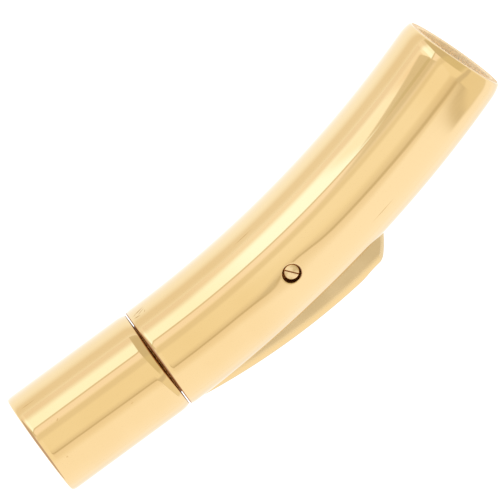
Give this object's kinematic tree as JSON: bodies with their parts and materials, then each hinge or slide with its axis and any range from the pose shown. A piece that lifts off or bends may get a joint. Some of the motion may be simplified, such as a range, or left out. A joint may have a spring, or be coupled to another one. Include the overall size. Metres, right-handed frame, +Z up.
{
  "type": "lever clip clasp",
  "caption": "Polished gold-coloured clip clasp for a round bracelet cord, with a plug sleeve, a bent socket tube and a sprung lever that hooks the plug's peg.",
  "frame": {"origin": "on the surface that the clasp lies on, under the middle of its bounding box", "axes": "+Z up, along the pivot screw towards its head; +X along the plug towards the open mouth of the socket tube; the tube bends towards +Y and the lever stands out towards -Y"},
  "size_m": [0.0412, 0.0138, 0.008],
  "materials": {
    "polished_gold": "mirror-polished steel with a pale gold coating",
    "screw_gold": "polished steel screw with a pale gold coating"
  },
  "bodies": {
    "clasp_body": {"socket_tube": "polished_gold", "plug": "polished_gold", "pivot_screw": "screw_gold"},
    "lever": {"lever": "polished_gold"}
  },
  "joints": [
    {"name": "lever_press", "type": "hinge", "parent": "clasp_body", "child": "lever", "pos_m": [0.0008, -0.00147, 0.004], "axis": [0, 0, 1], "range_deg": [0, 8], "stiffness_Nm_per_rad": 0.02}
  ]
}
